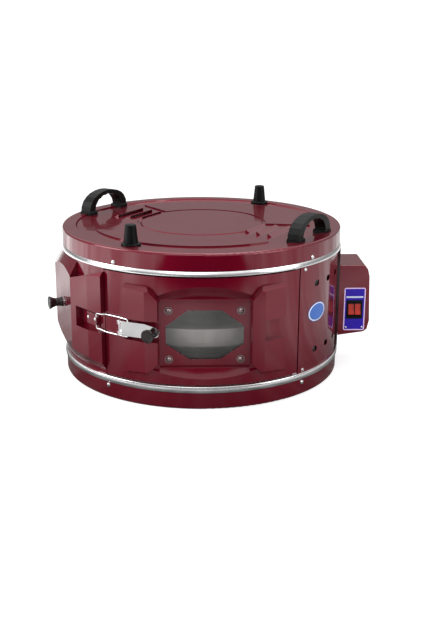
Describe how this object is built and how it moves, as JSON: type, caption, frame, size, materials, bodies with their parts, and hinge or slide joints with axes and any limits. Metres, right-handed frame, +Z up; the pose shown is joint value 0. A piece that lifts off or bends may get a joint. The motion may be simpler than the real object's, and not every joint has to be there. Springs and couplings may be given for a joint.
{
  "type": "electric tandoor",
  "caption": "Round countertop drum oven with a hinged window door, a draw latch, a lift-off lid with handles and legs, ring heaters and a switch box on its side.",
  "frame": {"origin": "centre of the drum's round foot, on the surface that it stands on", "axes": "+Z up along the drum's axis; -Y out of the window door; +X to the switch box"},
  "size_m": [0.5329, 0.481, 0.2788],
  "materials": {
    "maroon_enamel": "very glossy baked enamel",
    "bright_steel": "polished bright plating",
    "reflector_aluminium": "rolled bright sheet",
    "plated_bracket": "zinc plated pressed steel",
    "maroon_frame": "very glossy baked enamel",
    "window_glass": "clear toughened pane, faint green tint",
    "seal_rubber": "matte",
    "black_plastic": "satin heat-resistant moulding",
    "black_paint": "semi-gloss black",
    "label_blue": "printed film",
    "rocker_orange": "glossy",
    "heater_sheath": "heat-darkened tube",
    "ceramic_white": "unglazed"
  },
  "bodies": {
    "drum": {"base_pan": "maroon_enamel", "box_back_plate": "black_paint", "catch_rivets": "bright_steel", "control_box": "maroon_enamel", "cord_gland": "black_plastic", "door_post_left": "plated_bracket", "door_post_right": "plated_bracket", "drum_shell": "maroon_enamel", "floor_reflector": "reflector_aluminium", "hinge_bracket_lower": "plated_bracket", "hinge_bracket_upper": "plated_bracket", "hinge_pins": "bright_steel", "hinge_rivets": "bright_steel", "inner_liner": "reflector_aluminium", "label_plate": "label_blue", "latch_catch": "maroon_enamel", "lead_bushes": "ceramic_white", "lower_heater": "heater_sheath", "lower_heater_clips": "plated_bracket", "lower_hoop": "bright_steel", "pan_screws": "bright_steel", "side_knob": "black_plastic", "side_knob_spacer": "bright_steel", "side_knob_stud": "bright_steel", "side_knob_washer": "bright_steel", "sill_ring": "reflector_aluminium", "switch_body": "black_plastic", "terminal_block": "ceramic_white", "terminal_screws": "bright_steel", "top_ring": "reflector_aluminium", "tray_stand": "plated_bracket", "upper_heater": "heater_sheath", "upper_heater_clips": "plated_bracket", "upper_hoop": "bright_steel"},
    "door": {"door_panel": "maroon_enamel", "window_frame": "maroon_frame", "window_glass": "window_glass", "window_gasket": "seal_rubber", "glass_clamp": "plated_bracket", "window_bolts": "bright_steel", "door_liner": "reflector_aluminium", "hinge_tube": "plated_bracket", "latch_base": "bright_steel", "latch_base_rivets": "bright_steel", "latch_pin": "bright_steel"},
    "latch_lever_body": {"latch_lever": "bright_steel", "latch_knob": "black_plastic"},
    "latch_bail_body": {"latch_bail": "bright_steel"},
    "lid": {"lid_shell": "maroon_enamel", "lid_reflector": "reflector_aluminium", "lid_handle_left": "black_plastic", "lid_handle_right": "black_plastic", "lid_leg_front": "black_plastic", "lid_leg_back": "black_plastic", "lid_screws": "bright_steel", "lid_skirt_screws": "bright_steel"},
    "tray_body": {"tray": "reflector_aluminium"},
    "rocker_left_body": {"rocker_left": "rocker_orange"},
    "rocker_right_body": {"rocker_right": "rocker_orange"}
  },
  "joints": [
    {"name": "door_hinge", "type": "hinge", "parent": "drum", "child": "door", "pos_m": [0.13895, -0.17722, 0.1225], "axis": [0, 0, 1], "range_deg": [0, 110]},
    {"name": "latch_lever_hinge", "type": "hinge", "parent": "door", "child": "latch_lever_body", "pos_m": [-0.12854, -0.19793, 0.1223], "axis": [0, 0, -1], "range_deg": [0, 150]},
    {"name": "latch_bail_hinge", "type": "hinge", "parent": "latch_lever_body", "child": "latch_bail_body", "pos_m": [-0.11549, -0.20307, 0.1223], "axis": [0, 0, 1], "range_deg": [0, 180]},
    {"name": "lid_lift", "type": "slide", "parent": "drum", "child": "lid", "axis": [0, 0, 1], "range_m": [0, 0.12]},
    {"name": "tray_lift", "type": "slide", "parent": "drum", "child": "tray_body", "axis": [0, 0, 1], "range_m": [0, 0.09]},
    {"name": "rocker_left_tilt", "type": "hinge", "parent": "drum", "child": "rocker_left_body", "pos_m": [0.2501, -0.04, 0.101], "axis": [1, 0, 0], "range_deg": [0, 22]},
    {"name": "rocker_right_tilt", "type": "hinge", "parent": "drum", "child": "rocker_right_body", "pos_m": [0.2611, -0.04, 0.101], "axis": [1, 0, 0], "range_deg": [0, 22]}
  ],
  "couplings": [
    {"joint": "latch_bail_hinge", "follows": "latch_lever_hinge", "ratio": 1.2}
  ]
}
